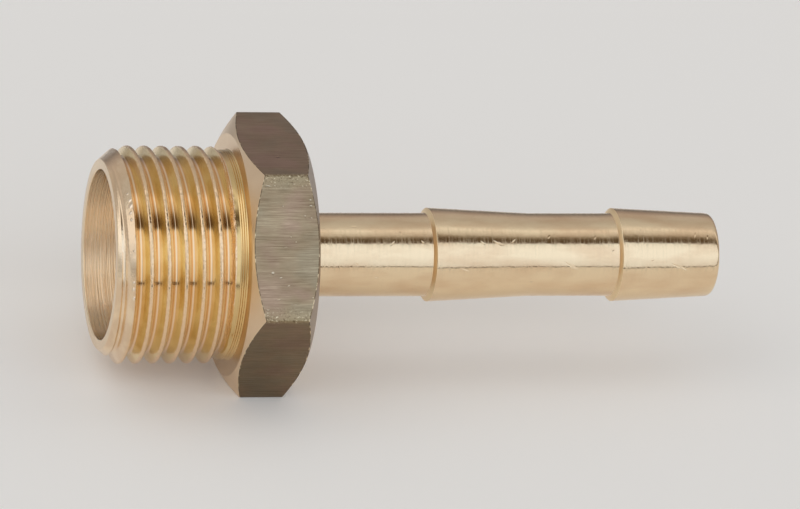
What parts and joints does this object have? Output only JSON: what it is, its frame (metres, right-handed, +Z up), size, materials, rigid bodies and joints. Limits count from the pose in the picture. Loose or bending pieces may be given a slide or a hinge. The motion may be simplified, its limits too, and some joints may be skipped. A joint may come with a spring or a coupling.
{
  "type": "hose barb tail",
  "caption": "Turned brass hose tail with a G 3/8 male thread, a hexagon for a 19 mm spanner and a barbed tail for a 6 mm hose.",
  "frame": {"origin": "centre of the hexagon's shoulder that the threaded end screws up to, on the axis of the fitting", "axes": "+X along the axis towards the hose tail's tip, -X out of the threaded mouth, +Z up from the hexagon flat that the piece lies on"},
  "size_m": [0.0486, 0.0218, 0.019],
  "materials": {
    "brass": "turned, satin"
  },
  "bodies": {
    "root": {"hose_tail_body": "brass"}
  },
  "joints": []
}
